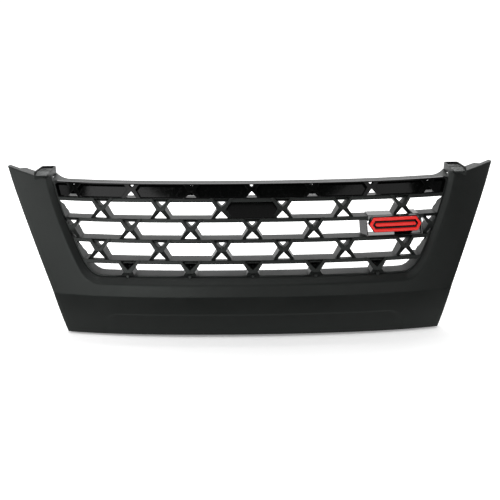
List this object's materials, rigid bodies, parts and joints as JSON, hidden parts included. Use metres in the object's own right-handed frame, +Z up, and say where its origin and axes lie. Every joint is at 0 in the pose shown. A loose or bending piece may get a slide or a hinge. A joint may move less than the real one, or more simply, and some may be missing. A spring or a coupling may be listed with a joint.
{
  "type": "vehicle front grille",
  "caption": "Bowed, backward-leaning black grille: broad U-shaped surround, honeycomb of long hexagons, gloss blanking pieces and a red hexagon emblem at one side",
  "frame": {"origin": "the seat on the underside of the lower skirt shelf, in the middle of the width", "axes": "+X across the vehicle, to the right as seen from in front; +Y backward into the vehicle; +Z up"},
  "size_m": [1.0576, 0.2651, 0.3023],
  "materials": {
    "matte_black": "fine grained, matte, moulded in colour",
    "satin_black": "satin, moulded in colour",
    "gloss_black": "piano black gloss",
    "red": "glossy red paint",
    "zinc": "zinc-plated steel"
  },
  "bodies": {
    "root": {"surround": "matte_black", "honeycomb_insert": "satin_black", "upper_blanking_panel": "gloss_black", "centre_blank": "gloss_black", "emblem_box": "gloss_black", "bar_trim": "gloss_black", "emblem_base": "gloss_black", "emblem_ring": "red", "emblem_bar": "red", "emblem_nut_1": "zinc", "emblem_nut_2": "zinc", "panel_screw_1": "zinc", "panel_screw_2": "zinc", "panel_screw_3": "zinc", "panel_screw_4": "zinc", "insert_screw_1": "zinc", "insert_screw_2": "zinc", "insert_screw_3": "zinc", "insert_screw_4": "zinc", "insert_screw_5": "zinc", "insert_screw_6": "zinc", "insert_screw_7": "zinc", "insert_screw_8": "zinc", "insert_screw_9": "zinc", "insert_screw_10": "zinc", "insert_screw_11": "zinc", "insert_screw_12": "zinc", "skirt_clip_1": "zinc", "skirt_clip_2": "zinc", "skirt_clip_3": "zinc", "skirt_clip_4": "zinc"}
  },
  "joints": []
}
